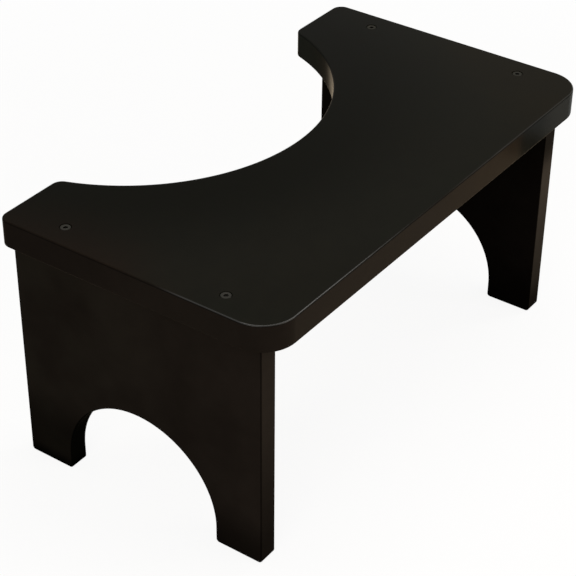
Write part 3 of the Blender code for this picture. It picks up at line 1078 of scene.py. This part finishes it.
def mirrored_floor(paint, studio):
    """The floor as the stool mirrors it.

    It is warm, with a painted shadow under the stool and dark behind it. Right of the stool it is dark in a
    strip and grey beyond that, darker towards the back.
    """
    x, y = paint.along("X"), paint.along("Y")
    # Painted shadow under the stool, where the stool mirrors the floor
    under = abs(x).step(BOARD_HIGH.x + UNDER_BLUR, BOARD_HIGH.x - UNDER_BLUR)
    under *= abs(y).step(BOARD_HIGH.y + UNDER_BLUR, BOARD_HIGH.y - UNDER_BLUR)
    behind = y.step(*BEHIND_Y) * x.step(*BEHIND_X)
    level = y.step(*BESIDE_Y)
    beside = x.step(*BESIDE_X) * level
    gap = x.step(*GAP_X) * level - beside
    tone = under.between(1, UNDER_TONE) * behind.between(1, BEHIND_TONE) * gap.between(1, GAP_TONE)
    tone *= (beside * y.step(*BESIDE_FADE_Y)).between(1, BESIDE_TONE)
    return paint.scale(paint.mix(studio.mirrored, studio.beside, beside), tone)


def make_floor(studio):
    """A pale floor that keeps the stool's shadow, and for the camera fades to white further out."""
    work = bmesh.new()
    bmesh.ops.create_grid(work, x_segments=1, y_segments=1, size=FLOOR_REACH)
    bmesh.ops.translate(work, verts=work.verts, vec=(0, 0, -SEAT_GAP))
    paint = Paint("floor")
    camera = ray(paint, "Camera")
    tint = paint.mix(studio.floor, mirrored_floor(paint, studio), seen_directly(paint))
    tint = paint.mix(tint, (1, 1, 1), camera)
    reach = paint.add("ShaderNodeVectorMath", {"operation": "LENGTH"}, {0: paint.place()}, output="Value")
    plain = reach.step(*FLOOR_FADE).between(FLOOR_WHITE_SHARE, 1)
    matte = paint.add("ShaderNodeBsdfDiffuse", inputs={"Color": tint})
    white = paint.add("ShaderNodeEmission", inputs={"Color": (1, 1, 1), "Strength": 1.0})
    blended = paint.add("ShaderNodeMixShader", inputs={0: plain * camera, 1: matte, 2: white})
    paint.feed(paint.tree.nodes["Material Output"].inputs["Surface"], blended)
    paint.tree.nodes.remove(paint.shader)
    add_piece("floor", work, paint.material)


def make_world(studio):
    """A dim dome for the light, which shows as plain white."""
    world = bpy.data.worlds.new("studio")
    world.use_nodes = True
    nodes = Nodes(world.node_tree)
    seen = seen_directly(nodes)
    background = nodes.tree.nodes["Background"]
    nodes.feed(background.inputs["Color"], (1, 1, 1))
    nodes.feed(background.inputs["Strength"], studio.dome + (1 - studio.dome) * seen)
    bpy.context.scene.world = world


def add_lamp(name, place, width, power, tint, along=Vector((1, 1, 0)), reach=None):
    """An area lamp that faces the stool, square unless it is given its reach `along` a direction."""
    light = bpy.data.lights.new(name, "AREA")
    light.shape = "RECTANGLE"
    light.size = reach or width
    light.size_y = width
    light.energy = power
    light.color = tint
    lamp = bpy.data.objects.new(name, light)
    back = (Vector(place) - Vector(LAMP_AIM)).normalized()
    side = (along - back * along.dot(back)).normalized()
    turned = Matrix((side, back.cross(side), back)).transposed().to_4x4()
    lamp.matrix_world = Matrix.Translation(place) @ turned
    bpy.context.scene.collection.objects.link(lamp)


def add_strip():
    """The long lamp overhead."""
    start, end = Vector(STRIP_START), Vector(STRIP_END)
    along = end - start
    add_lamp("strip", (start + end) / 2, STRIP_WIDTH, STRIP_POWER, STRIP_TINT, along, along.length)


def add_camera(studio):
    data = bpy.data.cameras.new("camera")
    data.lens = studio.lens
    camera = bpy.data.objects.new("camera", data)
    turned = (
        Matrix.Rotation(studio.azimuth, 4, "Z")
        @ Matrix.Rotation(math.pi / 2 - studio.elevation, 4, "X")
        @ Matrix.Rotation(studio.roll, 4, "Z")
    )
    back = turned @ Vector((0, 0, studio.distance))
    camera.matrix_world = Matrix.Translation(Vector(studio.aim) + back) @ turned
    bpy.context.scene.collection.objects.link(camera)
    bpy.context.scene.camera = camera


class FOOTSTOOL_OT_studio(bpy.types.Operator):
    """Make the floor, the lamps and the camera"""

    bl_idname = "footstool.studio"
    bl_label = "Studio"

    def execute(self, context):
        studio = context.scene.footstool_studio
        make_floor(studio)
        make_world(studio)
        for lamp in LAMPS:
            add_lamp(*lamp)
        add_strip()
        add_camera(studio)
        context.scene.view_settings.view_transform = "Standard"
        return {"FINISHED"}


OPERATORS = (
    FOOTSTOOL_OT_board,
    FOOTSTOOL_OT_legs,
    FOOTSTOOL_OT_screws,
    FOOTSTOOL_OT_dowels,
    FOOTSTOOL_OT_studio,
)


class FOOTSTOOL_PT_panel(bpy.types.Panel):
    """The footstool's pieces and settings"""

    bl_idname = "FOOTSTOOL_PT_panel"
    bl_label = "Footstool"
    bl_space_type = "VIEW_3D"
    bl_region_type = "UI"
    bl_category = "Footstool"

    def draw(self, context):
        for operator in OPERATORS:
            self.layout.operator(operator.bl_idname)
        for name, group in SETTINGS.items():
            box = self.layout.box()
            for setting in group.__annotations__:
                box.prop(getattr(context.scene, name), setting)


def register():
    for group in SETTINGS.values():
        bpy.utils.register_class(group)
    for name, group in SETTINGS.items():
        setattr(bpy.types.Scene, name, PointerProperty(type=group))
    for made in (*OPERATORS, FOOTSTOOL_PT_panel):
        bpy.utils.register_class(made)


def unregister():
    for made in reversed((*OPERATORS, FOOTSTOOL_PT_panel)):
        bpy.utils.unregister_class(made)
    for name in SETTINGS:
        delattr(bpy.types.Scene, name)
    for group in reversed(tuple(SETTINGS.values())):
        bpy.utils.unregister_class(group)


def corners(box):
    return [list(corner) for corner in box]


def main():
    register()
    bpy.ops.footstool.board()
    bpy.ops.footstool.legs()
    bpy.ops.footstool.screws()
    bpy.ops.footstool.dowels()
    bpy.ops.footstool.studio()


if __name__ == "__main__":
    main()
